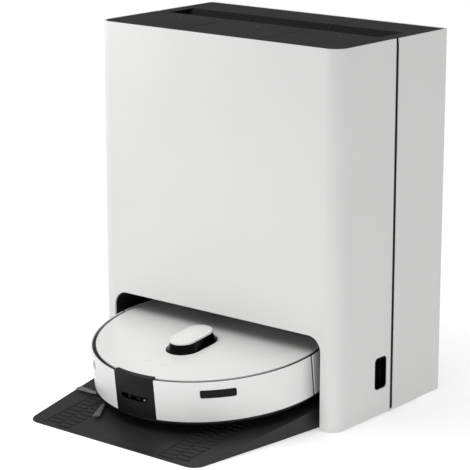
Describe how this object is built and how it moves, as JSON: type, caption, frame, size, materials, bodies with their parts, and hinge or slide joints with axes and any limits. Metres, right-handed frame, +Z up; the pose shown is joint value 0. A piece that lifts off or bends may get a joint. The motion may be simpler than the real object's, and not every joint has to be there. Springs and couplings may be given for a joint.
{
  "type": "robot vacuum with clean station",
  "caption": "Round robot vacuum and mop parked nose out in a tall white station with an inclined ribbed tray, black top lids and a hand trough.",
  "frame": {"origin": "on the floor, under the middle of the box round the station, its tray and the robot", "axes": "+Z up, +Y towards the station's back, +X to the right of someone who faces the station's front"},
  "size_m": [0.444, 0.491, 0.547],
  "materials": {
    "case_white": "satin",
    "frame_black": "fine matte texture",
    "lid_black": "satin",
    "tray_black": "fine matte texture",
    "window_black": "high gloss",
    "tank_smoke": "tinted and clear",
    "part_grey": "satin",
    "tread_rubber": "matte",
    "bristle": "matte",
    "mop_cloth": "looped pile",
    "bag_paper": "non-woven",
    "circuit_board": "lacquered",
    "bare_steel": "brushed"
  },
  "bodies": {
    "station": {"front_cover": "case_white", "rear_cover": "case_white", "mid_frame": "frame_black", "bay_liner": "frame_black", "side_grip_left": "window_black", "side_grip_right": "window_black", "front_ramp": "tray_black", "base_tray": "tray_black", "washing_plate": "part_grey", "charge_contact_left": "bare_steel", "charge_contact_right": "bare_steel", "dust_bag": "bag_paper", "dust_duct": "frame_black", "suction_motor": "part_grey", "clean_water_pump": "part_grey", "waste_water_pump": "part_grey", "dryer_fan": "frame_black", "control_board": "circuit_board", "power_inlet": "frame_black", "foot_rear_left": "tread_rubber", "foot_rear_right": "tread_rubber"},
    "clean_tank_unit": {"clean_tank": "tank_smoke"},
    "clean_tank_cover": {"clean_tank_lid": "lid_black"},
    "waste_tank_unit": {"waste_tank": "tank_smoke"},
    "waste_tank_cover": {"waste_tank_lid": "lid_black"},
    "dust_cover": {"dust_lid": "lid_black"},
    "robot": {"chassis": "frame_black", "rear_shell": "case_white", "front_deck": "case_white", "rear_lid": "case_white", "turret_window": "window_black", "turret_cap": "case_white", "arm_pin_left": "bare_steel", "arm_pin_right": "bare_steel", "brush_tunnel": "frame_black", "battery": "frame_black", "fan_unit": "part_grey", "dust_bin": "tank_smoke"},
    "bumper": {"bumper_skin_left": "case_white", "bumper_skin_right": "case_white", "bumper_frame": "frame_black", "camera_window": "window_black", "sensor_window_left": "window_black", "sensor_window_right": "window_black"},
    "lidar": {"lidar_rotor": "frame_black"},
    "power_key": {"power_button": "case_white"},
    "home_key": {"home_button": "case_white"},
    "suspension_left": {"wheel_arm_left": "part_grey"},
    "suspension_right": {"wheel_arm_right": "part_grey"},
    "drive_wheel_left": {"wheel_left": "tread_rubber"},
    "drive_wheel_right": {"wheel_right": "tread_rubber"},
    "caster_swivel": {"caster_fork": "part_grey"},
    "caster_roll": {"caster_wheel": "tread_rubber"},
    "main_brush": {"brush_roller": "tread_rubber"},
    "edge_brush": {"side_brush": "bristle"},
    "mop_lifter": {"mop_carrier": "frame_black"},
    "mop_left": {"mop_pad_left": "mop_cloth", "mop_plate_left": "part_grey"},
    "mop_right": {"mop_pad_right": "mop_cloth", "mop_plate_right": "part_grey"}
  },
  "joints": [
    {"name": "clean_tank_lift", "type": "slide", "parent": "station", "child": "clean_tank_unit", "axis": [0, 0, 1], "range_m": [0, 0.225]},
    {"name": "waste_tank_lift", "type": "slide", "parent": "station", "child": "waste_tank_unit", "axis": [0, 0, 1], "range_m": [0, 0.225]},
    {"name": "clean_lid_hinge", "type": "hinge", "parent": "clean_tank_unit", "child": "clean_tank_cover", "pos_m": [-0.148, 0.2392, 0.544], "axis": [-1, 0, 0], "range_deg": [0, 85]},
    {"name": "waste_lid_hinge", "type": "hinge", "parent": "waste_tank_unit", "child": "waste_tank_cover", "pos_m": [0.148, 0.2392, 0.544], "axis": [-1, 0, 0], "range_deg": [0, 85]},
    {"name": "dust_lid_hinge", "type": "hinge", "parent": "station", "child": "dust_cover", "pos_m": [0, 0.2392, 0.544], "axis": [-1, 0, 0], "range_deg": [0, 85]},
    {"name": "robot_drive_out", "type": "slide", "parent": "station", "child": "robot", "axis": [0, -0.9997, -0.0244], "range_m": [0, 0.4]},
    {"name": "bumper_press", "type": "slide", "parent": "robot", "child": "bumper", "axis": [0, 0.9928, 0.1201], "range_m": [0, 0.003], "stiffness_N_per_m": 900},
    {"name": "lidar_spin", "type": "hinge", "parent": "robot", "child": "lidar", "pos_m": [0, -0.06671, 0.10292], "axis": [0, -0.1201, 0.9928], "continuous": true},
    {"name": "power_press", "type": "slide", "parent": "robot", "child": "power_key", "axis": [0, 0.1201, -0.9928], "range_m": [0, 0.0008], "stiffness_N_per_m": 400},
    {"name": "home_press", "type": "slide", "parent": "robot", "child": "home_key", "axis": [0, 0.1201, -0.9928], "range_m": [0, 0.0008], "stiffness_N_per_m": 400},
    {"name": "suspension_left", "type": "hinge", "parent": "robot", "child": "suspension_left", "pos_m": [-0.0985, 0.04104, 0.07405], "axis": [1, 0, 0], "range_deg": [-4, 0], "stiffness_Nm_per_rad": 4, "springref_deg": 17.19},
    {"name": "wheel_left_spin", "type": "hinge", "parent": "suspension_left", "child": "drive_wheel_left", "pos_m": [-0.118, -0.01297, 0.06248], "axis": [1, 0, 0], "continuous": true},
    {"name": "suspension_right", "type": "hinge", "parent": "robot", "child": "suspension_right", "pos_m": [0.0985, 0.04104, 0.07405], "axis": [1, 0, 0], "range_deg": [-4, 0], "stiffness_Nm_per_rad": 4, "springref_deg": 17.19},
    {"name": "wheel_right_spin", "type": "hinge", "parent": "suspension_right", "child": "drive_wheel_right", "pos_m": [0.118, -0.01297, 0.06248], "axis": [1, 0, 0], "continuous": true},
    {"name": "caster_swivel", "type": "hinge", "parent": "robot", "child": "caster_swivel", "pos_m": [0, -0.15255, 0.05063], "axis": [0, -0.1201, 0.9928], "continuous": true},
    {"name": "caster_roll", "type": "hinge", "parent": "caster_swivel", "child": "caster_roll", "pos_m": [0, -0.1426, 0.02665], "axis": [1, 0, 0], "continuous": true},
    {"name": "main_brush_spin", "type": "hinge", "parent": "robot", "child": "main_brush", "pos_m": [0, -0.05131, 0.04636], "axis": [1, 0, 0], "continuous": true},
    {"name": "edge_brush_spin", "type": "hinge", "parent": "robot", "child": "edge_brush", "pos_m": [-0.1, -0.13779, 0.02018], "axis": [0, -0.1201, 0.9928], "continuous": true},
    {"name": "mop_lift", "type": "slide", "parent": "robot", "child": "mop_lifter", "axis": [0, -0.1201, 0.9928], "range_m": [0, 0.007]},
    {"name": "mop_left_spin", "type": "hinge", "parent": "mop_lifter", "child": "mop_left", "pos_m": [-0.067, 0.07121, 0.0495], "axis": [0, -0.1201, 0.9928], "continuous": true},
    {"name": "mop_right_spin", "type": "hinge", "parent": "mop_lifter", "child": "mop_right", "pos_m": [0.067, 0.07121, 0.0495], "axis": [0, -0.1201, 0.9928], "continuous": true}
  ],
  "couplings": [
    {"joint": "mop_left_spin", "follows": "mop_right_spin", "ratio": -1}
  ]
}
